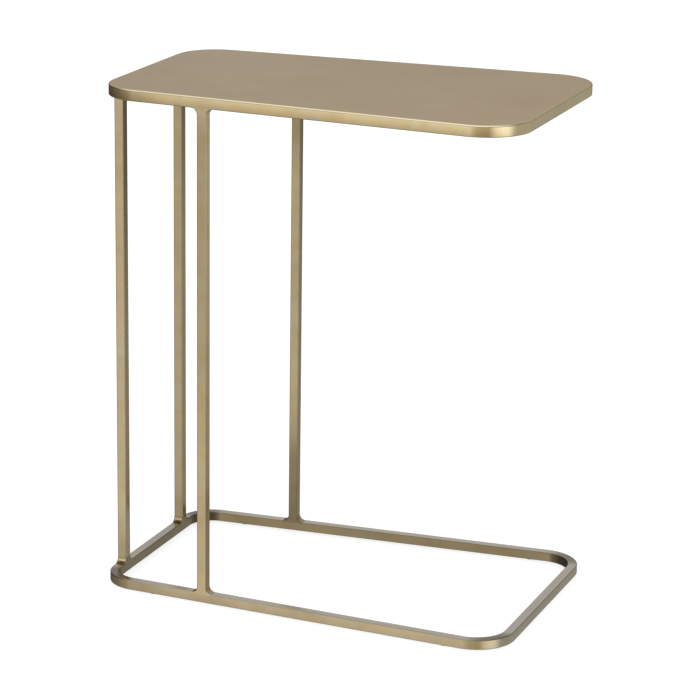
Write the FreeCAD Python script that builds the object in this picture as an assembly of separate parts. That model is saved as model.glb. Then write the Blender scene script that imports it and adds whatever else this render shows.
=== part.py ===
"""C shaped side table, in millimetres.

A welded frame of small square tube carries a steel sheet top. Two bent loops of the tube, one under the
top and one on the floor, are joined by four posts near one end, so the other end stays open and slides
over a seat. X runs along the table from the posts to the open end, Y across it, Z up. The origin is on
the floor under the middle of the table.
"""
import FreeCAD, Part
import math
import os
from FreeCAD import Placement, Rotation, Vector

# Overall sizes. The plan is a trapezoid, and its depths are those of its sharp corners.
height = 630.0
length = 536.0
depth_at_posts = 288.0
depth_at_open_end = 346.0

# Square tube of the loops and the posts
tube = 12.0
tube_wall = 1.5
tube_corner = 1.2
corner_turns = (0, 45, 90)  # degrees at which the flats of a rounded corner meet

# Top sheet, and the weld that fills the seam between the sheet and the rim
sheet = 2.0
sheet_arris = 1.8
seam_bevel = 1.6

# Outside corner radii of the plan
top_corner_at_posts = 53.0
top_corner_at_open_end = 58.0
base_corner_at_posts = 44.0
base_corner_at_open_end = 50.0

# Posts: two on the narrow end, and one on each long side
end_post_pitch = 170.0
side_post_setback = 142.0

# Welds at the ends of the posts, and the butt welds that close the two bent loops
weld_leg = 8.0
weld_fill = 0.33            # share of the leg kept at the middle of the flank; 0.5 would be flat
weld_root = 1.0             # gap between post and loop, filled by the weld
weld_recess = 0.2           # depth of the dressed weld below the faces of the tube
butt_gap = 2.0
butt_setback = 210.0        # from the open end, along the back

# Glides that snap into the underside of the base loop
glide_radius = 4.5
glide_head = 0.8
glide_edge = 0.3
glide_peg_radius = 2.4
glide_play = 0.1
glide_barb_radius = 3.0
glide_barb = 2.5
glide_setback = 74.0        # from each end of the table

# Levels
base_top = glide_head + tube
rim_top = height - sheet
rim_bottom = rim_top - tube

FRONT, OPEN_END, BACK, POST_END = range(4)      # sides of the plan, counter-clockwise
UP = Vector(0, 0, 1)


def plan_corners():
    """Sharp corners of the plan, counter-clockwise, each at the start of its side."""
    half = length / 2
    return [
        Vector(-half, -depth_at_posts / 2, 0),
        Vector(half, -depth_at_open_end / 2, 0),
        Vector(half, depth_at_open_end / 2, 0),
        Vector(-half, depth_at_posts / 2, 0),
    ]


def side_at(side, share):
    """Placement on the outer face of a side, `share` of the way along it: X along the side, Y inwards."""
    corners = plan_corners()
    start = corners[side]
    along = corners[(side + 1) % 4] - start
    return Placement(start + along * share, Rotation(UP, math.degrees(math.atan2(along.y, along.x))))


def plan_path(radii, inset, z):
    """Closed path at height z, `inset` inside the plan: an arc at each corner, tangent to the runs."""
    corners = plan_corners()
    at_posts, at_open_end = radii
    arcs = []
    for i, radius in enumerate([at_posts, at_open_end, at_open_end, at_posts]):
        corner = corners[i]
        back = (corners[i - 1] - corner).normalize()
        ahead = (corners[(i + 1) % 4] - corner).normalize()
        inward = (back + ahead).normalize()
        half_angle = back.getAngle(ahead) / 2
        centre = corner + inward * (radius / math.sin(half_angle))
        reach = radius / math.tan(half_angle)
        rays = [corner + back * reach - centre, inward * -1, corner + ahead * reach - centre]
        arcs.append([centre + ray.normalize() * (radius - inset) + UP * z for ray in rays])
    edges = []
    for i, arc in enumerate(arcs):
        edges.append(Part.Arc(*arc).toShape())
        edges.append(Part.LineSegment(arc[2], arcs[(i + 1) % 4][0]).toShape())
    return Part.Wire(edges)


def plan_slab(radii, inset, z, thickness):
    """Flat slab with the outline of the plan."""
    return Part.Face(plan_path(radii, inset, z)).extrude(UP * thickness)


def square(side, corner):
    """Face of a square about the origin, square to Z, each corner rounded in flats."""
    reach = side / 2 - corner
    turns = corner_turns if corner > 0 else corner_turns[:1]
    points = []
    for quarter in range(4):
        centre = Rotation(UP, 90 * quarter).multVec(Vector(reach, reach, 0))
        for turn in turns:
            points.append(centre + Rotation(UP, 90 * quarter + turn).multVec(Vector(corner, 0, 0)))
    return Part.Face(Part.makePolygon(points + points[:1]))


def bore_corner():
    """Inside corner radius of the tube."""
    return max(tube_corner - tube_wall, 0)


def carry(path, face):
    """Sweep a face along a path, square to it and centred on it."""
    first = path.OrderedEdges[0]
    start = first.valueAt(first.FirstParameter)
    face.Placement = Placement(start, Rotation(UP, first.tangentAt(first.FirstParameter)))
    return path.makePipe(face)


def loop_envelope(radii, bottom):
    """Bent tube, filled, with its underside at `bottom`."""
    return carry(plan_path(radii, tube / 2, bottom + tube / 2), square(tube, tube_corner))


def loop_bore(radii, bottom):
    """The hollow of a bent tube."""
    return carry(plan_path(radii, tube / 2, bottom + tube / 2), square(tube - 2 * tube_wall, bore_corner()))


def saw_cut():
    """Slab through the back run, where each bent loop is closed by its butt weld."""
    depth = depth_at_open_end
    cut = Part.makeBox(butt_gap, depth, 2 * height)
    cut.translate(Vector(length / 2 - butt_setback - butt_gap / 2, 0, -height / 2))
    return cut


def split_loop(ring):
    """The bent tube with its two ends apart, and the butt weld between them."""
    return ring.cut(saw_cut()), ring.common(saw_cut())


def seam_weld(radii):
    """Bead all round the rim: it fills the bevel between the sheet and the outer face of the tube."""
    path = plan_path(radii, 0, rim_top)
    first = path.OrderedEdges[0]
    start = first.valueAt(first.FirstParameter)
    inward = UP.cross(first.tangentAt(first.FirstParameter))
    corners = [start, start + inward * seam_bevel, start - UP * seam_bevel, start]
    return path.makePipe(Part.Face(Part.makePolygon(corners)))


def top_sheet(radii):
    """Sheet with a rounded upper edge."""
    slab = plan_slab(radii, 0, rim_top, sheet)
    upper = [edge for edge in slab.Edges if edge.BoundBox.ZMin > height - sheet / 2]
    return slab.makeFillet(sheet_arris, upper)


def column(face, bottom, top):
    """Upright prism behind the outer face of a side."""
    prism = face.extrude(UP * (top - bottom))
    prism.translate(Vector(0, tube / 2, bottom))
    return prism


def post_envelope():
    """Post, filled: it stops short of both loops by the root gap of its welds."""
    return column(square(tube, tube_corner), base_top + weld_root, rim_bottom - weld_root)


def post_bore():
    """The hollow of a post, run on through the weld at either end."""
    return column(square(tube - 2 * tube_wall, bore_corner()), base_top, rim_bottom)


def weld_blank():
    """Weld at the foot of a post before it is fitted: a hollow flank on each side, standing on z = 0."""
    half = tube / 2
    mid = weld_leg * weld_fill
    foot = Vector(half + weld_leg, 0, 0)
    waist = Vector(half + mid, 0, mid)
    head = Vector(half, 0, weld_leg)
    mirror = Rotation(UP, 180)
    below = UP * -tube_corner
    profile = Part.Wire([
        Part.Arc(foot, waist, head).toShape(),
        Part.LineSegment(head, mirror.multVec(head)).toShape(),
        Part.Arc(*[mirror.multVec(point) for point in (head, waist, foot)]).toShape(),
        Part.LineSegment(mirror.multVec(foot), mirror.multVec(foot) + below).toShape(),
        Part.LineSegment(mirror.multVec(foot) + below, foot + below).toShape(),
        Part.LineSegment(foot + below, foot).toShape(),
    ])
    return Part.Face(profile).extrude(Vector(0, tube, 0))


def post_weld(place, radii, bottom, at_base):
    """Dressed weld between a post and the loop whose underside is at `bottom`."""
    blank = weld_blank()
    if at_base:
        blank.translate(UP * (bottom + tube))
    else:
        blank.rotate(Vector(0, 0, 0), Vector(0, 1, 0), 180)
        blank.translate(UP * bottom)
    filled = moved(blank.cut(post_envelope()).cut(post_bore()), place)
    reach = weld_leg + tube
    outer = plan_slab(radii, weld_recess, bottom - reach, tube + 2 * reach)
    inner = plan_slab(radii, tube - weld_recess, bottom - reach, tube + 2 * reach)
    return filled.common(outer).cut(inner).cut(loop_envelope(radii, bottom))


def glide_profile():
    """Half section of a glide, from the middle of its face to the tip of its barb."""
    shoulder = glide_head + tube_wall + glide_play
    return [
        Vector(0, 0, 0),
        Vector(glide_radius - glide_edge, 0, 0),
        Vector(glide_radius, 0, glide_edge),
        Vector(glide_radius, 0, glide_head),
        Vector(glide_peg_radius, 0, glide_head),
        Vector(glide_peg_radius, 0, shoulder),
        Vector(glide_barb_radius, 0, shoulder),
        Vector(glide_peg_radius, 0, shoulder + glide_barb),
        Vector(0, 0, shoulder + glide_barb),
        Vector(0, 0, 0),
    ]


def glide():
    """Thin disc with a barbed peg, in the middle of the tube's width."""
    turned = Part.Face(Part.makePolygon(glide_profile())).revolve(Vector(0, 0, 0), UP, 360)
    turned.translate(Vector(0, tube / 2, 0))
    return turned


def glide_hole():
    """Hole for a glide's peg, through the lower wall of the base loop."""
    hole = Part.makeCylinder(glide_peg_radius + glide_play, tube / 2)
    hole.translate(Vector(0, tube / 2, glide_head - tube_wall))
    return hole


def moved(shape, place):
    """Copy of a shape, carried from the origin to a place on the plan."""
    copy = shape.copy()
    copy.Placement = place.multiply(copy.Placement)
    return copy


def build():
    """Every piece of the table, by name."""
    top_radii = (top_corner_at_posts, top_corner_at_open_end)
    base_radii = (base_corner_at_posts, base_corner_at_open_end)
    half_pitch = end_post_pitch / 2 / depth_at_posts
    posts = {
        "end_front": side_at(POST_END, 0.5 + half_pitch),
        "end_back": side_at(POST_END, 0.5 - half_pitch),
        "side_front": side_at(FRONT, side_post_setback / length),
        "side_back": side_at(BACK, 1 - side_post_setback / length),
    }
    near, far = glide_setback / length, 1 - glide_setback / length
    glides = {
        "post_end_front": side_at(FRONT, near),
        "open_end_front": side_at(FRONT, far),
        "open_end_back": side_at(BACK, near),
        "post_end_back": side_at(BACK, far),
    }

    parts = {"top_sheet": top_sheet(top_radii), "top_seam_weld": seam_weld(top_radii)}

    rim = loop_envelope(top_radii, rim_bottom).cut(loop_bore(top_radii, rim_bottom))
    parts["top_rim"], parts["rim_closing_weld"] = split_loop(rim.cut(parts["top_seam_weld"]))

    base = loop_envelope(base_radii, glide_head).cut(loop_bore(base_radii, glide_head))
    for place in glides.values():
        base = base.cut(moved(glide_hole(), place))
    parts["base_loop"], parts["base_closing_weld"] = split_loop(base)

    for name, place in posts.items():
        parts["post_" + name] = moved(post_envelope().cut(post_bore()), place)
        parts["weld_base_" + name] = post_weld(place, base_radii, glide_head, True)
        parts["weld_top_" + name] = post_weld(place, top_radii, rim_bottom, False)

    for name, place in glides.items():
        parts["glide_" + name] = moved(glide(), place)
    return parts


os.makedirs("parts", exist_ok=True)
for name, shape in build().items():
    shape.exportStep("parts/" + name + ".step")
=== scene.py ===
"""C shaped side table, dressed: satin antique brass on the frame and the top, dark plastic glides.

Each piece is made by its own operator and takes its place from the nodes of the frame. All sizes are in
metres. X runs from the posts to the open end, Y from the front to the back, Z up from the floor.
"""
import math
from collections import namedtuple

import bpy
from bpy.props import FloatProperty, FloatVectorProperty, IntProperty, PointerProperty
from mathutils import Matrix, Vector


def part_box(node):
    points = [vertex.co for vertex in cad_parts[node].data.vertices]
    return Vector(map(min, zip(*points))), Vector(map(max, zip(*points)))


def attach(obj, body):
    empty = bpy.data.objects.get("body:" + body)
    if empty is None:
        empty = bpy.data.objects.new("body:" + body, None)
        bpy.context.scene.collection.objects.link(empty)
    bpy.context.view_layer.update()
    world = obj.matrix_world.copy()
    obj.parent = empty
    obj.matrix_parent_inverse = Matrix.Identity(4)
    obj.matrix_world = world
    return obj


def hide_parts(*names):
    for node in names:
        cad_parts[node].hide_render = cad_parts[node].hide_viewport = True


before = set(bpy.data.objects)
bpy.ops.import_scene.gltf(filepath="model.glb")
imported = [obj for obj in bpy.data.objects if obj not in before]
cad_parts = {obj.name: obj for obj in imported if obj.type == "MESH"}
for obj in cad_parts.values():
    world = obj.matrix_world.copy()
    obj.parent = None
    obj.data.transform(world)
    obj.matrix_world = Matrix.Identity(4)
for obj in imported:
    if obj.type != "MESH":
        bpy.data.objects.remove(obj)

bl_info = {
    "name": "C shaped side table",
    "version": (1, 0, 0),
    "blender": (4, 5, 0),
    "location": "3D View > Sidebar > Side table",
    "description": "Dresses the frame of a welded side table and sets it in a plain studio",
    "category": "Object",
}

MM = 0.001

# Painted light and shade of each post: its brightness and that of its foot, and the height over which one
# fades into the other; the share of its brightness that is left at its very head, and the depth of that
# fade;
# how grey it is; and its side towards the open end.
PostTone = namedtuple("PostTone", "tone foot fade crown crown_fade grey side")
# Painted shade on that side: its brightness at the head, at the foot and on the weld below, and the heights
# that the fade from foot to head lies between.
SideTone = namedtuple("SideTone", "head foot weld low high")
POST_TONES = {
    "end_front": PostTone(0.85, 0.61, 0.09, 1.05, 0.05, 0.12, SideTone(0.27, 0.70, 0.43, 0.25, 0.58)),
    "end_back": PostTone(0.66, 0.51, 0.07, 1.00, 0.05, 0.10, SideTone(0.28, 0.62, 0.43, 0.38, 0.58)),
    "side_front": PostTone(0.70, 0.93, 0.50, 1.23, 0.03, 0.02, SideTone(0.97, 0.56, 0.56, 0.00, 0.50)),
    "side_back": PostTone(0.71, 0.33, 0.20, 0.58, 0.17, 0.14, SideTone(0.26, 0.55, 0.44, 0.36, 0.58)),
}
# Painted shade on the rounded edges of posts and welds.
POST_EDGES = (0.8, 0.8)  # share of the brightness left on the rounded edges of posts and welds
TOP_WELD_GREY = 0.1  # how much greyer than its post a weld under the top is

# Painted light and shade of each loop: the shares of its brightness left on its upper and lower edges, its
# grey and the grey added on its top, the share of its brightness left at its post end, the grey added at
# its open end. The greys added on top and at the open end paint a pale reflection.
LoopTone = namedtuple("LoopTone", "edges grey start end_grey")
RIM_TONE = LoopTone((1.0, 0.7), (0.0, 0.0), 0.78, 0.0)
BASE_TONE = LoopTone((0.5, 0.95), (0.1, 0.9), 0.85, 0.4)

GLIDES = ("post_end_front", "post_end_back", "open_end_front", "open_end_back")
GLIDE_EDGE = 0.35  # rounding of a glide's face, as a share of its head's height
PEG, BARB = 0.53, 0.66  # radii of its peg and barb, as shares of its head's
GRIP = 1.6 * MM  # from the head to the barb: the wall of the tube and some play
BARB_LOW, BARB_HIGH = 0.1 * MM, 0.4 * MM  # heights above the grip that the barb is full between
TIP = 0.2 * MM  # chamfer at the tip of the peg


def extent(node):
    """Size of a node along X, Y and Z."""
    low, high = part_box(node)
    return high - low


def centre(node):
    """Middle of a node's box."""
    low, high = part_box(node)
    return (low + high) / 2


# ---------------------------------------------------------------- settings

class TableSizes(bpy.types.PropertyGroup):
    """Sizes of the table that its pieces are made from."""

    length: FloatProperty(
        name="Length", description="From the post end to the open end",
        default=extent("top_rim").x, unit="LENGTH")
    depth_at_posts: FloatProperty(
        name="Depth at posts", description="Between the sharp corners of the plan at the post end",
        default=0.288, unit="LENGTH")
    depth_at_open_end: FloatProperty(
        name="Depth at open end", description="Between the sharp corners of the plan at the open end",
        default=0.346, unit="LENGTH")
    top_corner_at_posts: FloatProperty(
        name="Top corner at posts", description="Outside corner radius of the top at the post end",
        default=0.053, unit="LENGTH")
    top_corner_at_open_end: FloatProperty(
        name="Top corner at open end", description="Outside corner radius of the top at the open end",
        default=0.058, unit="LENGTH")
    base_corner_at_posts: FloatProperty(
        name="Base corner at posts", description="Outside corner radius of the base at the post end",
        default=0.044, unit="LENGTH")
    base_corner_at_open_end: FloatProperty(
        name="Base corner at open end", description="Outside corner radius of the base at the open end",
        default=0.050, unit="LENGTH")
    tube: FloatProperty(
        name="Tube", description="Outside width of the square tube",
        default=extent("base_loop").z, unit="LENGTH")
    tube_arris: FloatProperty(
        name="Tube arris", description="Radius of the rounded edges of the tube",
        default=0.0012, unit="LENGTH")
    sheet_arris: FloatProperty(
        name="Sheet arris", description="Radius of the rounded upper edge of the top",
        default=0.00195, unit="LENGTH")
    weld_leg: FloatProperty(
        name="Weld leg", description="How far a dressed weld reaches along the loop and up the post",
        default=(extent("weld_base_end_front").y - extent("post_end_front").y) / 2, unit="LENGTH")
    weld_proud: FloatProperty(
        name="Weld proud", description="How far a dressed weld stands out of the faces of the tube",
        default=0.00003, unit="LENGTH")
    run_end: FloatProperty(
        name="Run end", description="From a sharp corner of the plan to the even part of a straight run",
        default=95 * MM, unit="LENGTH", min=0)
    bend_steps: IntProperty(
        name="Bend steps", description="Straight steps in each corner of a loop", default=24, min=4)
    arris_steps: IntProperty(
        name="Arris steps", description="Steps across each rounded edge", default=6, min=2)
    post_steps: IntProperty(
        name="Post steps", description="Rows of points up a post", default=24, min=2)
    weld_steps: IntProperty(
        name="Weld steps", description="Steps along the hollow flank of a weld", default=14, min=4)


class BrassFinish(bpy.types.PropertyGroup):
    """Colours of the satin antique brass, and the painted light and shade on each part of the frame."""

    sheet: FloatVectorProperty(
        name="Sheet", description="Main colour of the top",
        subtype="COLOR", size=3, min=0, max=1, default=(0.62, 0.46, 0.26))
    sheet_edge: FloatVectorProperty(
        name="Sheet edge", description="Tone of the rounded edge of the top",
        subtype="COLOR", size=3, min=0, max=1, default=(0.565, 0.508, 0.337))
    sheet_glance: FloatVectorProperty(
        name="Sheet glance", description="Tint of the top where it is seen at a low angle",
        subtype="COLOR", size=3, min=0, max=1, default=(0.87, 0.87, 0.80))
    tube: FloatVectorProperty(
        name="Tube", description="Main colour of the frame",
        subtype="COLOR", size=3, min=0, max=1, default=(0.78, 0.605, 0.335))
    tube_glance: FloatVectorProperty(
        name="Tube glance", description="Tint of the frame where it is seen at a low angle",
        subtype="COLOR", size=3, min=0, max=1, default=(1, 1, 1))
    patina: FloatVectorProperty(
        name="Patina", description="Share of the main colour that is left in browner patches",
        subtype="COLOR", size=3, min=0, max=1, default=(0.84, 0.78, 0.70))
    rubbed: FloatVectorProperty(
        name="Rubbed", description="Paler tone along rubbed edges",
        subtype="COLOR", size=3, min=0, max=1, default=(0.84, 0.71, 0.47))
    # Mixed in by each piece's grey mark; on the base's top and open end it is a painted pale reflection.
    greyed: FloatVectorProperty(
        name="Greyed", description="Greyer tone of the base, strongest on its top",
        subtype="COLOR", size=3, min=0, max=1, default=(0.585, 0.557, 0.468))
    tube_roughness: FloatProperty(
        name="Tube roughness", description="Gloss of the satin finish on the frame",
        default=0.24, min=0, max=1)
    sheet_roughness: FloatProperty(
        name="Sheet roughness", description="Gloss of the satin finish on the top",
        default=0.18, min=0, max=1)
    # Painted light on the rim: its brightness, the share kept at the open end and its lift towards the
    # upper edge.
    rim_tone: FloatProperty(
        name="Rim tone", description="Brightness of the polished rim", default=1.0, min=0, max=1.2)
    rim_end_tone: FloatProperty(
        name="Rim end tone", description="Share of its brightness that the rim keeps at the open end",
        default=1.05, min=0, max=1.2)
    rim_lift: FloatProperty(
        name="Rim lift", description="How much brighter the rim gets towards its upper edge", default=0.25)
    # Painted light and shade on the base: its brightness, its lift towards the top, its darker inner faces
    # and bends.
    base_tone: FloatProperty(
        name="Base tone", description="Brightness of the base", default=0.83, min=0, max=1.2)
    base_lift: FloatProperty(
        name="Base lift", description="How much brighter the base gets towards its top", default=0.05)
    inner_tone: FloatProperty(
        name="Inner tone", description="Brightness of the inner faces of the base",
        default=0.43, min=0, max=1.2)
    bend_tone: FloatProperty(
        name="Bend tone", description="Share of the brightness left on top of the bends of the base",
        default=0.40, min=0, max=1)
    # Darker patina with painted shade, low in the hollow of a weld at the base.
    weld_patina_and_shade: FloatProperty(
        name="Weld patina and shade", description="Darker patina left in the hollow of a weld at the base",
        default=0.75)


class StudioSettings(bpy.types.PropertyGroup):
    """Camera and light of the studio."""

    azimuth: FloatProperty(
        name="Azimuth", description="Camera angle about Z, from the front towards the open end",
        subtype="ANGLE", default=math.radians(21.23))
    elevation: FloatProperty(
        name="Elevation", description="Camera angle above the floor",
        subtype="ANGLE", default=math.radians(15.97))
    roll: FloatProperty(
        name="Roll", description="Tilt of the camera", subtype="ANGLE", default=math.radians(0.80))
    distance: FloatProperty(
        name="Distance", description="From the camera to the point it looks at",
        default=3.7046, unit="LENGTH")
    target: FloatVectorProperty(
        name="Target", description="Point that the camera looks at",
        subtype="XYZ", unit="LENGTH", default=(0.0062, 0.0, 0.2985))
    lens: FloatProperty(
        name="Lens", description="Focal length in millimetres on a 36 mm sensor", default=155.12)
    ambient: FloatVectorProperty(
        name="Ambient", description="Light between the soft boxes",
        subtype="COLOR", size=3, min=0, max=1, default=(0.12, 0.10, 0.07))


class TableSettings(bpy.types.PropertyGroup):
    """All settings of the table."""

    sizes: PointerProperty(type=TableSizes)
    finish: PointerProperty(type=BrassFinish)
    studio: PointerProperty(type=StudioSettings)


# ---------------------------------------------------------------- node trees

class Value:
    """A socket in a node tree. Arithmetic and comparisons add Math nodes."""

    def __init__(self, nodes, socket):
        self.nodes = nodes
        self.socket = socket

    def also(self, name):
        """Another output of the same node."""
        return Value(self.nodes, self.socket.node.outputs[name])

    def __add__(self, other):
        return self.nodes.math("ADD", self, other)

    def __sub__(self, other):
        return self.nodes.math("SUBTRACT", self, other)

    def __mul__(self, other):
        return self.nodes.math("MULTIPLY", self, other)

    def __truediv__(self, other):
        return self.nodes.math("DIVIDE", self, other)

    def __rsub__(self, other):
        return self.nodes.math("SUBTRACT", other, self)

    def __rtruediv__(self, other):
        return self.nodes.math("DIVIDE", other, self)

    def __lt__(self, other):
        return self.nodes.math("LESS_THAN", self, other)

    def __gt__(self, other):
        return self.nodes.math("GREATER_THAN", self, other)

    def __neg__(self):
        return self.nodes.math("MULTIPLY", self, -1)

    def __abs__(self):
        return self.nodes.math("ABSOLUTE", self)

    __radd__ = __add__
    __rmul__ = __mul__


class Nodes:
    """Adds nodes to one tree."""

    def __init__(self, tree):
        self.tree = tree

    def add(self, kind, settings=None, *values, **named):
        """Add a node: its settings first, then the values or links of its sockets, in order or by name."""
        node = self.tree.nodes.new(kind)
        node.location = (180 * len(self.tree.nodes), 0)
        for name, setting in (settings or {}).items():
            setattr(node, name, setting)
        ready = [socket for socket in node.inputs if socket.enabled]
        for socket, value in zip(ready, values):
            self.give(socket, value)
        for name, value in named.items():
            label = name.replace("_", " ").lower()
            self.give(next(socket for socket in ready if socket.name.lower() == label), value)
        outputs = [socket for socket in node.outputs if socket.enabled]
        return Value(self, outputs[0]) if outputs else None

    def give(self, socket, value):
        """Link a socket, or set its value."""
        if isinstance(value, Value):
            self.tree.links.new(value.socket, socket)
        else:
            socket.default_value = value

    def math(self, operation, *values):
        """Math node."""
        return self.add("ShaderNodeMath", {"operation": operation}, *values)

    def vector(self, x=0.0, y=0.0, z=0.0):
        """Vector from its parts."""
        return self.add("ShaderNodeCombineXYZ", None, x, y, z)

    def position(self):
        """X, Y and Z of each point of a shape."""
        return self.split(self.add("GeometryNodeInputPosition"))

    def mark(self, name, kind="FLOAT"):
        """Named value of each point of a shape."""
        return self.add("GeometryNodeInputNamedAttribute", {"data_type": kind}, name=name)

    def noise(self, place, scale, detail, roughness=0.5):
        """Soft noise."""
        return self.add(
            "ShaderNodeTexNoise", None, vector=place, scale=scale, detail=detail, roughness=roughness)

    def split(self, vector):
        """X, Y and Z of a vector."""
        x = self.add("ShaderNodeSeparateXYZ", None, vector)
        return x, x.also("Y"), x.also("Z")

    def between(self, value, low, high):
        """0 below `low`, 1 above `high` and a smooth step in between."""
        settings = {"interpolation_type": "SMOOTHSTEP"}
        return self.add("ShaderNodeMapRange", settings, value=value, from_min=low, from_max=high)

    def within(self, value, shares, whole):
        """The same smooth step between two shares of a whole."""
        low, high = shares
        return self.between(value, whole * low, whole * high)

    def blend(self, share, first, second):
        """Mix of two colours."""
        settings = {"data_type": "RGBA", "clamp_factor": True}
        return self.add("ShaderNodeMix", settings, factor=share, a=first, b=second)


def shape_tree(name, sizes, counts, make, vectors=()):
    """Geometry Nodes tree with named inputs; `make` adds the nodes of its shape."""
    tree = bpy.data.node_groups.new(name, "GeometryNodeTree")
    tree.is_modifier = True
    kinds = dict.fromkeys(sizes, "NodeSocketFloat") | dict.fromkeys(counts, "NodeSocketInt")
    kinds |= dict.fromkeys(vectors, "NodeSocketVector")
    kinds["Material"] = "NodeSocketMaterial"
    for label, kind in kinds.items():
        tree.interface.new_socket(label, in_out="INPUT", socket_type=kind)
    tree.interface.new_socket("Shape", in_out="OUTPUT", socket_type="NodeSocketGeometry")
    nodes = Nodes(tree)
    first = nodes.add("NodeGroupInput")
    given = {label: first.also(label) for label in kinds}
    shape = make(nodes, given)
    shape = nodes.add("GeometryNodeRealizeInstances", None, shape)
    shape = nodes.add("GeometryNodeSetMaterial", None, geometry=shape, material=given["Material"])
    nodes.add("NodeGroupOutput", None, shape)
    return tree


def linked(name, data):
    """New object in the scene."""
    thing = bpy.data.objects.new(name, data)
    bpy.context.scene.collection.objects.link(thing)
    return thing


def grown(name, tree, inputs, place=Matrix(), arris=None):
    """Plain mesh object grown by a tree, with an optional rounded arris, carried to its place."""
    piece = linked(name, bpy.data.meshes.new(name))
    modifier = piece.modifiers.new("Shape", "NODES")
    modifier.node_group = tree
    for item in tree.interface.items_tree:
        if item.name in inputs:
            modifier[item.identifier] = inputs[item.name]
    if arris:
        bevel = piece.modifiers.new("Arris", "BEVEL")
        bevel.limit_method = "WEIGHT"
        bevel.harden_normals = True
        bevel.width, bevel.segments = arris
    made = piece.evaluated_get(bpy.context.evaluated_depsgraph_get())
    mesh = bpy.data.meshes.new_from_object(made)
    piece.modifiers.clear()
    piece.data = mesh
    mesh.name = name
    if mesh.materials[0] is None:
        mesh.materials.pop(index=0)
    mesh.transform(place)
    return piece


def fitted(piece, slot, *nodes):
    """The piece stands for its nodes and rides on the table's one body; its slot is not used."""
    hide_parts(*nodes)
    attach(piece, "root")


# ---------------------------------------------------------------- shapes

# Number inputs of the shapes
PLAN = ["Length", "Depth at Posts", "Depth at Open End", "Corner at Posts", "Corner at Open End"]
LOOP = PLAN + ["Run End", "Bend Tone", "Start Tone", "End Tone", "End Grey"]
POST = ["Height", "Foot", "Fade", "Side Foot", "Side Low", "Side High", "Crown", "Crown Fade"]
WELD = ["Leg", "Proud", "Bend Side", "Run", "Bend Radius", "Patina"]
TUBE = ["Tube", "Arris", "Tone", "Lift", "Side Tone", "Edge Tone", "Low Edge Tone", "Grey", "Grey Top"]

SAME_PLACE = 0.01 * MM  # points this close are merged
CREASE = math.radians(50)  # a turn sharper than this shows as a crisp line
NEAR_SIDE = 0.9  # share of half the tube's width past which a point is at its side
FLAT_END = 1.35  # where a flat of the tube is held, in arrises from the corner
STRAIGHT = 0.05  # bend below which a point of the outline is on a straight run
UPPER_FACE = 0.99  # share of the sheet's thickness past which a point is on top

# Where painted light and shade set in and are full: on one side and on top, in widths of the tube from its
# middle; in a bend, in radii; at the ends of a loop, in halves of its length; in the hollow of a weld, in
# shares of its rise.
SIDE_FACE = (0.44, 0.5)
TOP_FACE = (0.40, 0.49)
BEND = (0.62, 0.97)
OPEN_END, POST_END = (0.90, 0.99), 0.80
HOLLOW = (0.42, 0.66)
HOLLOW_GREY = 0.3  # how much greyer the dark of that hollow is
# The lower edge of a loop takes more painted shade towards its open end.
LOW_EDGE_LOSS = 0.3  # share that the lower edge of a loop loses at its open end


def corner_radius(given, x):
    """Radius of the corner at the end of the plan that x lies towards."""
    at_posts = given["Corner at Posts"]
    return at_posts + (given["Corner at Open End"] - at_posts) * (x > 0)


def plan_outline(nodes, given):
    """Closed outline of the plan, with its corners rounded in short straight steps."""
    sharp = nodes.add(
        "GeometryNodeCurvePrimitiveQuadrilateral", {"mode": "TRAPEZOID"},
        height=given["Length"], bottom_width=given["Depth at Posts"],
        top_width=given["Depth at Open End"], offset=0.0)
    turned = nodes.add(
        "GeometryNodeTransform", None, geometry=sharp, rotation=(0, 0, -math.pi / 2))
    x, _, _ = nodes.position()
    return nodes.add(
        "GeometryNodeFilletCurve", {"mode": "POLY"},
        curve=turned, count=given["Bend Steps"], radius=corner_radius(given, x))


def tube_section(nodes, side, arris, steps, lower_only):
    """Rounded square, with a point near each end of its flats that keeps their shading flat.

    A bent tube hangs its section upside down, so `lower_only` rounds the corners where Y is above 0.
    """
    square = nodes.add(
        "GeometryNodeCurvePrimitiveQuadrilateral", {"mode": "RECTANGLE"}, width=side, height=side)
    cut = nodes.add("GeometryNodeSubdivideCurve", None, curve=square, cuts=2)
    x, y, _ = nodes.position()
    half = side / 2
    spread = (half - arris * FLAT_END) / (half / 3)
    moved = []
    for reach in (x, y):
        inner = abs(reach) < half * NEAR_SIDE
        moved.append(reach * (1 + inner * (spread - 1)))
    held = nodes.add("GeometryNodeSetPosition", None, geometry=cut, position=nodes.vector(*moved))
    radius = arris
    if lower_only:
        radius = arris * (y > 0)
    return nodes.add(
        "GeometryNodeFilletCurve", {"mode": "POLY"}, curve=held, count=steps, radius=radius)


def with_mark(nodes, shape, name, value, kind="FLOAT", domain="POINT"):
    """The shape with a named value at each of its points or edges."""
    return nodes.add(
        "GeometryNodeStoreNamedAttribute", {"data_type": kind, "domain": domain},
        geometry=shape, name=name, value=value)


def marked_section(nodes, given, up=1, lower_only=False):
    """Rounded square that remembers its own place, with `up` the sense of its Y, and its rounded edges."""
    side, arris = given["Tube"], given["Arris"]
    section = tube_section(nodes, side, arris, given["Arris Steps"], lower_only)
    x, y, _ = nodes.position()
    y = y * up
    flat = side / 2 - arris
    past = nodes.math("MAXIMUM", abs(x) - flat, 0) * nodes.math("MAXIMUM", abs(y) - flat, 0)
    edge = nodes.math("MINIMUM", past / (arris * arris * 0.5), 1)
    if lower_only:
        edge = edge * (y < 0)
    marked = with_mark(nodes, section, "section", nodes.vector(x, y, 0.0), "FLOAT_VECTOR")
    return with_mark(nodes, marked, "arris", edge)


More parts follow.
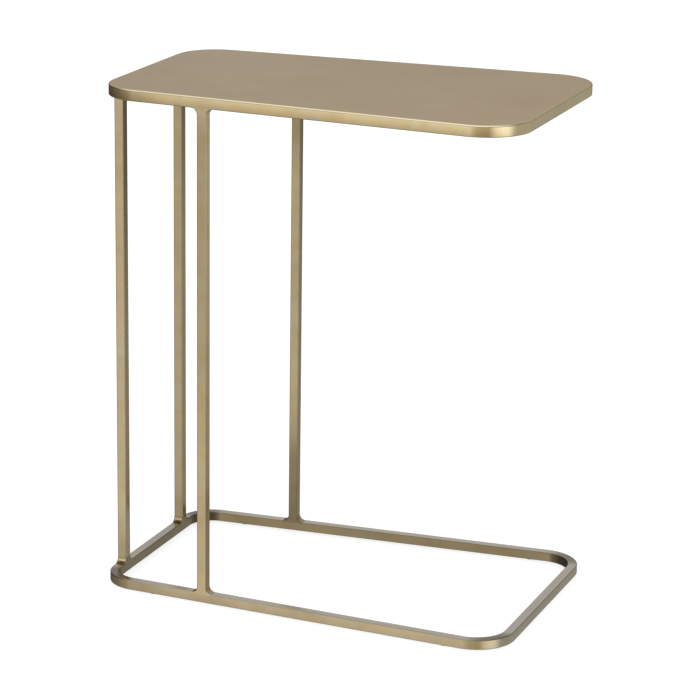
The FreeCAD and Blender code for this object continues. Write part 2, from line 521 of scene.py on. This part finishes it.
def with_painted_light(nodes, shape, given, share=1.0, more_grey=0.0):
    """The shape with its painted light and shade: one side may be darker, and so may the rounded edges."""
    side = given["Tube"]
    place, edge = nodes.mark("section", "FLOAT_VECTOR"), nodes.mark("arris")
    towards = nodes.add(
        "ShaderNodeVectorMath", {"operation": "DOT_PRODUCT"}, place, given["Side"]).also("Value")
    _, y, _ = nodes.split(place)
    tone = (given["Tone"] + given["Lift"] * y / (side / 2)) * share
    tone = tone + (given["Side Tone"] - tone) * nodes.within(towards, SIDE_FACE, side)
    low = given["Low Edge Tone"]
    edge_tone = low + (given["Edge Tone"] - low) * (y > 0)
    tone = tone * (1 + (edge_tone - 1) * edge)
    # Grey, more of it on top, where it is in part a painted pale reflection.
    grey = given["Grey"] + given["Grey Top"] * nodes.within(y, TOP_FACE, side) + more_grey
    return with_mark(nodes, with_mark(nodes, shape, "tone", tone), "grey", grey)


def smoothed(nodes, shape):
    """Smooth faces, with a crisp line wherever they turn hard."""
    turn = nodes.add("GeometryNodeInputMeshEdgeAngle")
    crisp = with_mark(nodes, shape, "sharp_edge", turn > CREASE, "BOOLEAN", "EDGE")
    return nodes.add("GeometryNodeSetShadeSmooth", None, geometry=crisp, shade_smooth=True)


def loop_shape(lower_only):
    """Maker of a bent tube that follows the plan, its outer face on the outline."""
    def make(nodes, given):
        """Add the nodes of the loop."""
        shifted = nodes.add(
            "GeometryNodeTransform", None, geometry=marked_section(nodes, given, -1, lower_only),
            translation=nodes.vector(given["Tube"] * -0.5))
        outline = with_run_ends(nodes, plan_outline(nodes, given), given)
        outline = with_mark(nodes, outline, "bend", bend_at(nodes, given))
        outline = nodes.add("GeometryNodeSetCurveNormal", {"mode": "Z_UP"}, curve=outline)
        swept = nodes.add(
            "GeometryNodeCurveToMesh", None, curve=outline, profile_curve=shifted, fill_caps=False)
        merged = nodes.add("GeometryNodeMergeByDistance", None, geometry=swept, distance=SAME_PLACE)
        return smoothed(nodes, loop_with_painted_light(nodes, merged, given))
    return make


def loop_with_painted_light(nodes, loop, given):
    """The loop with painted light and shade: top and inner face darker in the bends, the open end more
    even.
    """
    _, height, _ = nodes.split(nodes.mark("section", "FLOAT_VECTOR"))
    top = nodes.within(height, TOP_FACE, given["Tube"])
    x, _, _ = nodes.position()
    half = given["Length"] / 2
    end = nodes.within(x, OPEN_END, half)
    start = nodes.between(-x, half - given["Run End"], half * POST_END)
    darker = nodes.mark("bend") * (1 - given["Bend Tone"])
    share = (1 - darker * top) * (1 - end * (1 - given["End Tone"]))
    share = share * (1 - start * (1 - given["Start Tone"]))
    given = given | {
        "Lift": given["Lift"] * (1 - end),
        "Side Tone": given["Side Tone"] * (1 - darker),
        "Low Edge Tone": given["Low Edge Tone"] * (1 - end * LOW_EDGE_LOSS),
    }
    return with_painted_light(nodes, loop, given, share, end * given["End Grey"])


def half_depth(given, x):
    """Half the depth of the plan at x."""
    middle = (given["Depth at Posts"] + given["Depth at Open End"]) / 4
    return middle + (given["Depth at Open End"] - given["Depth at Posts"]) / 2 * x / given["Length"]


def with_run_ends(nodes, outline, given):
    """The outline with two more points on each straight run, near its ends, for a tone to fade there."""
    cuts = (bend_at(nodes, given) < STRAIGHT) * 2
    cut = nodes.add("GeometryNodeSubdivideCurve", None, curve=outline, cuts=cuts)
    x, y, _ = nodes.position()
    side_x, side_y = nodes.math("SIGN", x), nodes.math("SIGN", y)
    reach = given["Length"] / 2 - given["Run End"]
    on_side = abs(x) < reach
    new_x = x + on_side * (side_x * reach - x)
    depth = half_depth(given, new_x)
    on_end = abs(y) < depth - given["Run End"]
    new_y = y + on_side * (side_y * depth - y) + on_end * (side_y * (depth - given["Run End"]) - y)
    return nodes.add("GeometryNodeSetPosition", None, geometry=cut, position=nodes.vector(new_x, new_y))


def bend_at(nodes, given):
    """1 in the middle of each bend of the outline, 0 where its straight runs begin."""
    x, y, _ = nodes.position()
    reach = given["Length"] / 2 - abs(x) + half_depth(given, x) - abs(y)
    return 1 - nodes.within(reach, BEND, corner_radius(given, x))


def sheet_shape(nodes, given):
    """Flat sheet with the outline of the plan; the edge to be rounded carries a bevel weight."""
    face = nodes.add("GeometryNodeFillCurve", {"mode": "NGONS"}, curve=plan_outline(nodes, given))
    lifted = nodes.add(
        "GeometryNodeExtrudeMesh", {"mode": "FACES"}, mesh=face,
        offset=nodes.vector(0.0, 0.0, given["Thickness"]), offset_scale=1.0, individual=False)
    under = nodes.add("GeometryNodeFlipFaces", None, mesh=face)
    closed = nodes.add("GeometryNodeJoinGeometry")
    for shape in (under, lifted):
        nodes.tree.links.new(shape.socket, closed.socket.node.inputs[0])
    merged = nodes.add("GeometryNodeMergeByDistance", None, geometry=closed, distance=SAME_PLACE)
    _, _, z = nodes.position()
    upper = z > given["Thickness"] * UPPER_FACE
    marked = with_mark(nodes, merged, "bevel_weight_edge", upper, domain="EDGE")
    return nodes.add("GeometryNodeSetShadeSmooth", None, geometry=marked, shade_smooth=True)


def upright(nodes, given, height, rows):
    """Square tube with closed ends, standing on z = 0, in rows of points."""
    line = nodes.add(
        "GeometryNodeCurvePrimitiveLine", {"mode": "POINTS"},
        start=(0, 0, 0), end=nodes.vector(0.0, 0.0, height))
    spaced = nodes.add("GeometryNodeResampleCurve", {"mode": "COUNT"}, curve=line, count=rows)
    return nodes.add(
        "GeometryNodeCurveToMesh", None,
        curve=spaced, profile_curve=marked_section(nodes, given), fill_caps=True)


def post_shape(nodes, given):
    """Post whose painted light and shade change towards its head and its foot."""
    post = upright(nodes, given, given["Height"], given["Post Steps"])
    _, _, z = nodes.position()
    foot, crown, side_foot = given["Foot"], given["Crown"], given["Side Foot"]
    share = foot + (1 - foot) * nodes.between(z, 0.0, given["Fade"])
    share = share * (crown + (1 - crown) * nodes.between(given["Height"] - z, 0.0, given["Crown Fade"]))
    raised = nodes.between(z, given["Side Low"], given["Side High"])
    side = side_foot + (given["Side Tone"] - side_foot) * raised
    return smoothed(nodes, with_painted_light(nodes, post, given | {"Side Tone": side}, share))


def weld_shape(nodes, given):
    """Dressed weld at the foot of a post: a short length of the tube that flares into the loop below it.

    A quarter circle on each side runs from the top of the loop up to the side of the post. Past the end of
    a straight run the weld follows the bend of the loop.
    """
    half, leg, proud = given["Tube"] / 2, given["Leg"], given["Proud"]
    blank = upright(nodes, given, 1.0, given["Weld Steps"])
    x, y, share = nodes.position()
    turn = share * (math.pi / 2)
    sine, cosine = nodes.math("SINE", turn), nodes.math("COSINE", turn)
    inset = half - abs(x) - proud
    along = half + leg - leg * sine - sine * inset
    up = leg - leg * cosine - cosine * inset
    across = y * (1 + proud / half)
    flared = along * nodes.math("SIGN", x)

    bend_side, run, radius = given["Bend Side"], given["Run"], given["Bend Radius"]
    towards = flared * bend_side
    angle = nodes.math("MAXIMUM", towards - run, 0) / radius
    ring = radius - across - half
    bent = (nodes.math("MINIMUM", towards, run) + ring * nodes.math("SINE", angle)) * bend_side
    inward = radius - ring * nodes.math("COSINE", angle) - half
    flank = nodes.between(abs(x), half * NEAR_SIDE, half)
    # Darker, greyer patina with painted shade in the lower hollow flanks of the weld.
    dark = given["Patina"] * flank * (1 - nodes.between(share, *HOLLOW))
    marked = with_painted_light(nodes, blank, given, 1 - dark, dark * HOLLOW_GREY)
    place = nodes.vector(bent, inward, up)
    return smoothed(nodes, nodes.add("GeometryNodeSetPosition", None, geometry=marked, position=place))


def turned(name, profile, material, steps=48):
    """Round piece turned about Z from (radius, height) points, from the middle of its face to its tip."""
    angles = [2 * math.pi * step / steps for step in range(steps)]
    vertices, faces = [(0, 0, profile[0][1])], []
    for radius, height in profile[1:-1]:
        vertices += [(radius * math.cos(angle), radius * math.sin(angle), height) for angle in angles]
    vertices.append((0, 0, profile[-1][1]))
    rings = range(1, len(vertices) - 1, steps)
    for step in range(steps):
        ahead = (step + 1) % steps
        faces.append((0, 1 + ahead, 1 + step))
        for low, high in zip(rings, rings[1:]):
            faces.append((low + step, low + ahead, high + ahead, high + step))
        faces.append((rings[-1] + step, rings[-1] + ahead, len(vertices) - 1))
    mesh = bpy.data.meshes.new(name)
    mesh.from_pydata(vertices, [], faces)
    mesh.materials.append(material)
    mesh.shade_smooth()
    mesh.update()
    return linked(name, mesh)


# ---------------------------------------------------------------- materials

def emptied(block):
    """Nodes of a material or world, emptied."""
    block.use_nodes = True
    block.node_tree.nodes.clear()
    return Nodes(block.node_tree)


def new_material(name):
    """New material, its nodes and the place of each point."""
    material = bpy.data.materials.new(name)
    nodes = emptied(material)
    return material, nodes, nodes.add("ShaderNodeTexCoord").also("Object")


def finished(nodes, **looks):
    """End a material in one principled surface."""
    surface = nodes.add("ShaderNodeBsdfPrincipled", None, **looks)
    nodes.add("ShaderNodeOutputMaterial", None, surface=surface)


CLOUDS, PATCHES = (0.38, 0.66), (0.4, 0.68)  # where in their noise they set in and are full
PATINA_SHARE = 0.4  # share of the patina that each of them brings
CAST_SLICE = 3.7  # slice of the noise that gives the casts of colour
TUBE_MOTTLE, SHEET_MOTTLE = 1.0, 0.35  # how patchy the frame and the top are
TUBE_RUBBED = 0.4  # share of the rubbed tone on the edges of the tube
SHEET_RUBBED = (0.02 * MM, 0.3 * MM)  # depths that the edge tone of the top lies between
RELIEF = 0.02 * MM  # depth of the finest texture
SHEET_STEPS = 8  # steps across the rounded edge of the top
FLOOR_GLOW = 0.72  # light that the floor gives by itself
BACKDROP = 1.02  # level of the background, just past white


def brass_material(finish, name, colour, rubbed, glance, roughness, mottle, marks):
    """Satin antique brass: soft patches of patina, a fine grain along the metal and paler rubbed edges,
    with the painted light and shade that the tone and grey marks of each piece carry.
    """
    material = bpy.data.materials.get(name)
    if material:
        return material
    material, nodes, place = new_material(name)
    grain_at, edge, tone, grey = marks(nodes, place)

    clouds = nodes.noise(place, 6.0, 2.0, 0.55)
    patches = nodes.noise(place, 42.0, 2.0)
    casts = nodes.add(
        "ShaderNodeTexNoise", {"noise_dimensions": "4D"},
        vector=place, w=CAST_SLICE, scale=55.0, detail=1.0)
    grain = nodes.noise(grain_at, 1.0, 2.0, 0.6)

    patina = [part * left for part, left in zip(colour, finish.patina)]
    worn = nodes.between(clouds, *CLOUDS) * PATINA_SHARE
    worn = worn + nodes.between(patches, *PATCHES) * PATINA_SHARE * mottle
    metal_colour = nodes.blend(worn, (*colour, 1), (*patina, 1))
    metal_colour = nodes.blend(edge, metal_colour, (*rubbed, 1))
    # The grey mark mixes in the greyed tone, in part a painted pale reflection.
    metal_colour = nodes.blend(grey, metal_colour, (*finish.greyed, 1))
    warm = (casts - 0.5) * 2 * mottle
    # Painted light and shade: the tone scales the colour, which turns browner where the tone is low.
    brown = nodes.math("MAXIMUM", 1 - tone, 0)
    shade = tone * (0.97 + grain * 0.06)
    tint = nodes.vector(
        shade * (1 + warm * 0.08),
        shade * (1 - brown * 0.06 - warm * 0.02),
        shade * (1 - brown * 0.16 - warm * 0.14))
    metal_colour = nodes.add("ShaderNodeVectorMath", {"operation": "MULTIPLY"}, metal_colour, tint)
    roughness = roughness + (clouds - 0.5) * 0.12 + (grain - 0.5) * 0.08 - edge * 0.03
    height = grain * 0.7 + patches * 0.3
    normal = nodes.add("ShaderNodeBump", None, strength=0.25, distance=RELIEF, height=height)
    finished(
        nodes, base_color=metal_colour, metallic=1.0, roughness=roughness, normal=normal,
        specular_tint=(*glance, 1))
    return material


def tube_marks(nodes, place):
    """Grain along a tube, its rounded edges, its painted light and shade and its grey, from its own marks.
    """
    section = nodes.add("ShaderNodeAttribute", {"attribute_name": "section"}).also("Vector")
    edge, tone, grey = [
        nodes.add("ShaderNodeAttribute", {"attribute_name": name}).also("Fac")
        for name in ("arris", "tone", "grey")]
    u, v, _ = nodes.split(section)
    x, y, z = nodes.split(place)
    return nodes.vector(u * 1400, v * 1400, x * 9 + y * 11 + z * 8), edge * TUBE_RUBBED, tone, grey


def sheet_marks(nodes, place):
    """Grain that runs along the top, its rounded upper edge, and a tone that changes slowly along it."""
    x, y, z = nodes.split(place)
    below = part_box("top_sheet")[1].z - z
    edge = nodes.between(below, *SHEET_RUBBED)
    tone = 1 + (nodes.noise(place, 3.5, 1.0) - 0.5) * 0.08 + x * 0.2
    return nodes.vector(x * 9, y * 900, z * 900), edge, tone, 0.04 - x * 0.15


def plastic_material():
    """Dark moulded plastic with a fine matt texture."""
    material, nodes, place = new_material("glide_plastic")
    cloud, fine = nodes.noise(place, 300.0, 3.0), nodes.noise(place, 2500.0, 2.0)
    colour = nodes.blend(cloud, (0.022, 0.018, 0.015, 1), (0.035, 0.029, 0.024, 1))
    normal = nodes.add("ShaderNodeBump", None, strength=0.4, distance=RELIEF, height=fine)
    finished(nodes, base_color=colour, roughness=0.5 + (cloud - 0.5) * 0.2, normal=normal)
    return material


def floor_material():
    """Plain pale floor, bright enough by itself that shadows on it stay faint."""
    material, nodes, place = new_material("pale_floor")
    colour = nodes.blend(nodes.noise(place, 1.5, 2.0), (0.34, 0.34, 0.34, 1), (0.36, 0.36, 0.36, 1))
    finished(
        nodes, base_color=colour, roughness=0.9,
        emission_color=(1, 1, 1, 1), emission_strength=FLOOR_GLOW)
    return material


# ---------------------------------------------------------------- places

def side_lean(sizes):
    """Angle between a long side of the plan and X."""
    return math.atan2((sizes.depth_at_open_end - sizes.depth_at_posts) / 2, sizes.length)


def side_turn(sizes, post):
    """Direction of the side of the plan that a post stands on, counter-clockwise round the plan."""
    lean = side_lean(sizes)
    return {
        "end_front": -math.pi / 2,
        "end_back": -math.pi / 2,
        "side_front": -lean,
        "side_back": math.pi + lean,
    }[post]


def post_place(sizes, post, level):
    """From a post's own frame to the table: X along its side, Y inwards, at a level."""
    middle = centre("post_" + post)
    return Matrix.Translation((middle.x, middle.y, level)) @ Matrix.Rotation(side_turn(sizes, post), 4, "Z")


def run_before_bend(sizes, post, radius):
    """How far the straight run goes on from an end post towards the near corner of the loop."""
    corner_reach = radius / math.tan(math.pi / 4 + side_lean(sizes) / 2)
    return sizes.depth_at_posts / 2 - corner_reach - abs(centre("post_" + post).y)


# ---------------------------------------------------------------- operators

def settings_of(context):
    """The table's settings."""
    return context.scene.side_table


def plan_inputs(sizes, *corners):
    """Inputs of a shape that follows the plan, with its corners at the posts and open end."""
    plan = zip(PLAN, (sizes.length, sizes.depth_at_posts, sizes.depth_at_open_end, *corners))
    return dict(plan) | {"Bend Steps": sizes.bend_steps}


def tube_tree(name, sizes, counts, make):
    """Tree of a piece made of the square tube."""
    return shape_tree(name, sizes + TUBE, counts + ["Arris Steps"], make, ["Side"])


def tube_inputs(settings, tone, edges, grey, lift=0.0, side=(0, 0, 0), side_tone=1.0):
    """Inputs that every piece of the square tube shares; its edges are given as upper and lower."""
    sizes, finish = settings.sizes, settings.finish
    return {
        "Tube": sizes.tube,
        "Arris": sizes.tube_arris,
        "Arris Steps": sizes.arris_steps,
        "Tone": tone,
        "Lift": lift,
        "Side": side,
        "Side Tone": side_tone,
        "Edge Tone": edges[0],
        "Low Edge Tone": edges[1],
        "Grey": grey[0],
        "Grey Top": grey[1],
        "Material": brass_material(
            finish, "satin_tube", finish.tube, finish.rubbed, finish.tube_glance,
            finish.tube_roughness, TUBE_MOTTLE, tube_marks),
    }


def make_loop(names, sizes, corners, inputs, tone, lower_only=False, bend_tone=1.0, end_tone=1.0):
    """Make a bent tube, from the names of its tree, its piece and the nodes that it stands for."""
    tree_name, name, *nodes = names
    tree = tube_tree(tree_name, LOOP, ["Bend Steps"], loop_shape(lower_only))
    inputs = inputs | plan_inputs(sizes, *corners) | {
        "Run End": sizes.run_end,
        "Bend Tone": bend_tone,
        "Start Tone": tone.start,
        "End Tone": end_tone,
        "End Grey": tone.end_grey,
    }
    place = Matrix.Translation((0, 0, centre(nodes[0]).z))
    fitted(grown(name, tree, inputs, place), "brass_frame", *nodes)


def towards_open_end(place):
    """Side of a post, in its own frame, that looks towards the open end."""
    ahead = place.to_3x3().transposed() @ Vector((1, 0, 0))
    return (round(ahead.x), round(ahead.y), 0)


class SIDETABLE_OT_top_sheet(bpy.types.Operator):
    """Make the flat top, with its rounded upper edge"""

    bl_idname = "side_table.top_sheet"
    bl_label = "Top sheet"

    def execute(self, context):
        settings = settings_of(context)
        sizes, finish = settings.sizes, settings.finish
        low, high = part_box("top_sheet")
        tree = shape_tree("Top sheet", PLAN + ["Thickness"], ["Bend Steps"], sheet_shape)
        inputs = plan_inputs(sizes, sizes.top_corner_at_posts, sizes.top_corner_at_open_end)
        inputs["Thickness"] = high.z - low.z
        inputs["Material"] = brass_material(
            finish, "satin_sheet", finish.sheet, finish.sheet_edge, finish.sheet_glance,
            finish.sheet_roughness, SHEET_MOTTLE, sheet_marks)
        place = Matrix.Translation((0, 0, low.z))
        piece = grown("brass_top", tree, inputs, place, (sizes.sheet_arris, SHEET_STEPS))
        fitted(piece, "brass_sheet", "top_sheet")
        return {"FINISHED"}


class SIDETABLE_OT_top_rim(bpy.types.Operator):
    """Make the bent tube under the edge of the top"""

    bl_idname = "side_table.top_rim"
    bl_label = "Top rim"

    def execute(self, context):
        settings = settings_of(context)
        sizes, finish = settings.sizes, settings.finish
        # The rim's colour carries painted light: its tone, lift, edges and end tone.
        inputs = tube_inputs(settings, finish.rim_tone, RIM_TONE.edges, RIM_TONE.grey, finish.rim_lift)
        make_loop(
            ("Rim tube", "rim_tube", "top_rim", "rim_closing_weld", "top_seam_weld"), sizes,
            (sizes.top_corner_at_posts, sizes.top_corner_at_open_end), inputs, RIM_TONE,
            lower_only=True, end_tone=finish.rim_end_tone)
        return {"FINISHED"}


class SIDETABLE_OT_base_loop(bpy.types.Operator):
    """Make the bent tube on the floor"""

    bl_idname = "side_table.base_loop"
    bl_label = "Base loop"

    def execute(self, context):
        settings = settings_of(context)
        sizes, finish = settings.sizes, settings.finish
        # The base's colour carries painted light and shade: its tone, lift, edges, inner faces and bends.
        inputs = tube_inputs(
            settings, finish.base_tone, BASE_TONE.edges, BASE_TONE.grey, finish.base_lift,
            side=(-1, 0, 0), side_tone=finish.inner_tone)
        make_loop(
            ("Base tube", "base_tube", "base_loop", "base_closing_weld"), sizes,
            (sizes.base_corner_at_posts, sizes.base_corner_at_open_end), inputs, BASE_TONE,
            bend_tone=finish.bend_tone)
        return {"FINISHED"}


class SIDETABLE_OT_posts(bpy.types.Operator):
    """Make the four posts"""

    bl_idname = "side_table.posts"
    bl_label = "Posts"

    def execute(self, context):
        settings = settings_of(context)
        sizes = settings.sizes
        tree = tube_tree("Post", POST, ["Post Steps"], post_shape)
        for post, tone in POST_TONES.items():
            node = "post_" + post
            place = post_place(sizes, post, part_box(node)[0].z)
            # Each post's colour carries its painted light and shade from POST_TONES.
            inputs = tube_inputs(
                settings, tone.tone, POST_EDGES, (tone.grey, 0.0),
                side=towards_open_end(place), side_tone=tone.side.head)
            inputs |= {
                "Height": extent(node).z,
                "Foot": tone.foot / tone.tone,
                "Fade": tone.fade,
                "Side Foot": tone.side.foot,
                "Side Low": tone.side.low,
                "Side High": tone.side.high,
                "Crown": tone.crown,
                "Crown Fade": tone.crown_fade,
                "Post Steps": sizes.post_steps,
            }
            piece = grown("tube_" + post, tree, inputs, place)
            fitted(piece, "brass_frame", node)
        return {"FINISHED"}


class SIDETABLE_OT_welds(bpy.types.Operator):
    """Make the dressed welds at both ends of the posts"""

    bl_idname = "side_table.welds"
    bl_label = "Welds"

    def execute(self, context):
        settings = settings_of(context)
        sizes, finish = settings.sizes, settings.finish
        tree = tube_tree("Dressed weld", WELD, ["Weld Steps"], weld_shape)
        levels = {
            "base": (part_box("base_loop")[1].z, sizes.base_corner_at_posts),
            "top": (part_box("top_rim")[0].z, sizes.top_corner_at_posts),
        }
        for post, tone in POST_TONES.items():
            for end, (level, radius) in levels.items():
                place = post_place(sizes, post, level)
                towards_corner = -1 if post == "end_back" else 1
                run = run_before_bend(sizes, post, radius) if post.startswith("end") else sizes.length
                # A base weld takes the painted light and shade of its post's foot; a top weld, that of its
                # head, with no dark hollow.
                own, side_tone, grey, patina = tone.foot, tone.side.weld, tone.grey, finish.weld_patina_and_shade
                if end == "top":
                    place = place @ Matrix.Rotation(math.pi, 4, "Y")
                    towards_corner = -towards_corner
                    own, side_tone, grey = tone.tone * tone.crown, tone.side.head, tone.grey + TOP_WELD_GREY
                    patina = 0.0
                inputs = tube_inputs(
                    settings, own, POST_EDGES, (grey, 0.0),
                    side=towards_open_end(place), side_tone=side_tone)
                inputs |= {
                    "Leg": sizes.weld_leg,
                    "Proud": sizes.weld_proud,
                    "Weld Steps": sizes.weld_steps,
                    "Bend Side": towards_corner,
                    "Bend Radius": radius,
                    "Run": run,
                    "Patina": patina,
                }
                piece = grown("flare_" + end + "_" + post, tree, inputs, place)
                fitted(piece, "brass_frame", "weld_" + end + "_" + post)
        return {"FINISHED"}


def glide_profile(radius, head, tip, steps=4):
    """Half section of a glide, from the middle of its face to the tip of its peg."""
    edge, peg, barb, shoulder = head * GLIDE_EDGE, radius * PEG, radius * BARB, head + GRIP
    profile = [(0, 0.0), (radius - 2 * edge, 0.0)]
    for step in range(steps + 1):
        angle = math.pi / 2 * step / steps
        profile.append((radius - edge + edge * math.sin(angle), edge - edge * math.cos(angle)))
    return profile + [
        (radius, head), (peg, head), (peg, shoulder), (barb, shoulder + BARB_LOW),
        (barb, shoulder + BARB_HIGH), (peg, tip - TIP), (peg - TIP, tip), (0, tip),
    ]


class SIDETABLE_OT_glides(bpy.types.Operator):
    """Make the four plastic glides under the base"""

    bl_idname = "side_table.glides"
    bl_label = "Glides"

    def execute(self, context):
        material = plastic_material()
        for glide in GLIDES:
            node = "glide_" + glide
            low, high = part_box(node)
            profile = glide_profile((high.x - low.x) / 2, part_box("base_loop")[0].z, high.z)
            piece = turned("glide_cap_" + glide, profile, material)
            middle = centre(node)
            piece.data.transform(Matrix.Translation((middle.x, middle.y, low.z)))
            fitted(piece, "glide", node)
        return {"FINISHED"}


class SIDETABLE_OT_stage(bpy.types.Operator):
    """Make the pale floor, the soft light and the camera"""

    bl_idname = "side_table.stage"
    bl_label = "Studio"

    def execute(self, context):
        studio = settings_of(context).studio
        scene = context.scene
        make_floor()
        make_light(scene, studio)
        make_camera(scene, studio)
        scene.view_settings.view_transform = "Standard"
        return {"FINISHED"}


# Soft boxes of the light dome: where each stands, in degrees, the angles from its axis to its edge and to
# the end of its even core, and the light it gives.
SoftBox = namedtuple("SoftBox", "azimuth elevation edge core light")
SOFT_BOXES = (
    SoftBox(-6, 66, 73, 20, (1.41, 1.44, 1.50)),
    SoftBox(-23, -9, 22, 6, (0.54, 0.57, 0.60)),
    SoftBox(10, -34, 45, 9, (0.41, 0.42, 0.41)),
    SoftBox(62, -12, 32, 3, (0.96, 1.03, 1.16)),
    SoftBox(121, -14, 75, 18, (0.345, 0.40, 0.445)),
    SoftBox(-150, 36, 45, 10, (0.585, 0.581, 0.619)),
    SoftBox(-55, -61, 68, 10, (0.31, 0.37, 0.52)),
    SoftBox(168, 24, 30, 8, (0.21, 0.13, 0.05)),
    SoftBox(-52, -14, 19, 4, (0.16, 0.14, 0.08)),
)


def make_floor(half=4.0):
    """Square floor that the metal does not mirror."""
    mesh = bpy.data.meshes.new("floor")
    corners = [(-half, -half, 0), (half, -half, 0), (half, half, 0), (-half, half, 0)]
    mesh.from_pydata(corners, [], [(0, 1, 2, 3)])
    mesh.materials.append(floor_material())
    floor = linked("floor", mesh)
    floor.visible_glossy = False


def make_light(scene, studio):
    """Light dome: the camera and the floor see plain white, the metal sees soft boxes with dimmer gaps."""
    world = bpy.data.worlds.new("studio")
    nodes = emptied(world)
    scene.world = world
    direction = nodes.add("ShaderNodeTexCoord").also("Generated")
    light = nodes.vector(*studio.ambient)
    for box in SOFT_BOXES:
        azimuth, elevation, edge, core = [math.radians(angle) for angle in box[:4]]
        facing = nodes.add(
            "ShaderNodeVectorMath", {"operation": "DOT_PRODUCT"},
            direction, towards(azimuth, elevation)).also("Value")
        share = nodes.between(facing, math.cos(edge), math.cos(core))
        glow = nodes.add("ShaderNodeVectorMath", {"operation": "SCALE"}, box.light, scale=share)
        light = nodes.add("ShaderNodeVectorMath", {"operation": "ADD"}, light, glow)
    ray = nodes.add("ShaderNodeLightPath")
    unseen = nodes.math("MAXIMUM", ray.also("Is Camera Ray"), ray.also("Is Diffuse Ray"))
    colour = nodes.blend(unseen, light, (BACKDROP, BACKDROP, BACKDROP, 1))
    background = nodes.add("ShaderNodeBackground", None, color=colour, strength=1.0)
    nodes.add("ShaderNodeOutputWorld", None, surface=background)


def towards(azimuth, elevation):
    """Direction at an angle about Z, from the front towards the open end, and an angle above the floor."""
    flat = math.cos(elevation)
    return Vector((math.sin(azimuth) * flat, -math.cos(azimuth) * flat, math.sin(elevation)))


def make_camera(scene, studio):
    """Camera at its angle about the target."""
    azimuth, elevation, roll = studio.azimuth, studio.elevation, studio.roll
    back = towards(azimuth, elevation)
    right = Vector((0, 0, 1)).cross(back).normalized()
    up = back.cross(right)
    right, up = (
        right * math.cos(roll) + up * math.sin(roll),
        up * math.cos(roll) - right * math.sin(roll),
    )
    data = bpy.data.cameras.new("camera")
    data.lens = studio.lens
    data.sensor_width = 36
    camera = linked("camera", data)
    turn = Matrix((right, up, back)).transposed().to_4x4()
    camera.matrix_world = Matrix.Translation(Vector(studio.target) + back * studio.distance) @ turn
    scene.camera = camera


STEPS = (
    SIDETABLE_OT_top_sheet,
    SIDETABLE_OT_top_rim,
    SIDETABLE_OT_base_loop,
    SIDETABLE_OT_posts,
    SIDETABLE_OT_welds,
    SIDETABLE_OT_glides,
    SIDETABLE_OT_stage,
)


class SIDETABLE_PT_panel(bpy.types.Panel):
    """Steps that dress the table"""

    bl_idname = "SIDETABLE_PT_panel"
    bl_label = "Side table"
    bl_space_type = "VIEW_3D"
    bl_region_type = "UI"
    bl_category = "Side table"

    def draw(self, context):
        for step in STEPS:
            self.layout.operator(step.bl_idname)


CLASSES = (TableSizes, BrassFinish, StudioSettings, TableSettings, *STEPS, SIDETABLE_PT_panel)


def register():
    """Make the settings, steps and panel known."""
    for cls in CLASSES:
        bpy.utils.register_class(cls)
    bpy.types.Scene.side_table = PointerProperty(type=TableSettings)


def unregister():
    """Take them away again."""
    del bpy.types.Scene.side_table
    for cls in reversed(CLASSES):
        bpy.utils.unregister_class(cls)


def main():
    """Dress the table."""
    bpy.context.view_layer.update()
    register()
    for step in STEPS:
        family, name = step.bl_idname.split(".")
        getattr(getattr(bpy.ops, family), name)()


if __name__ == "__main__":
    main()
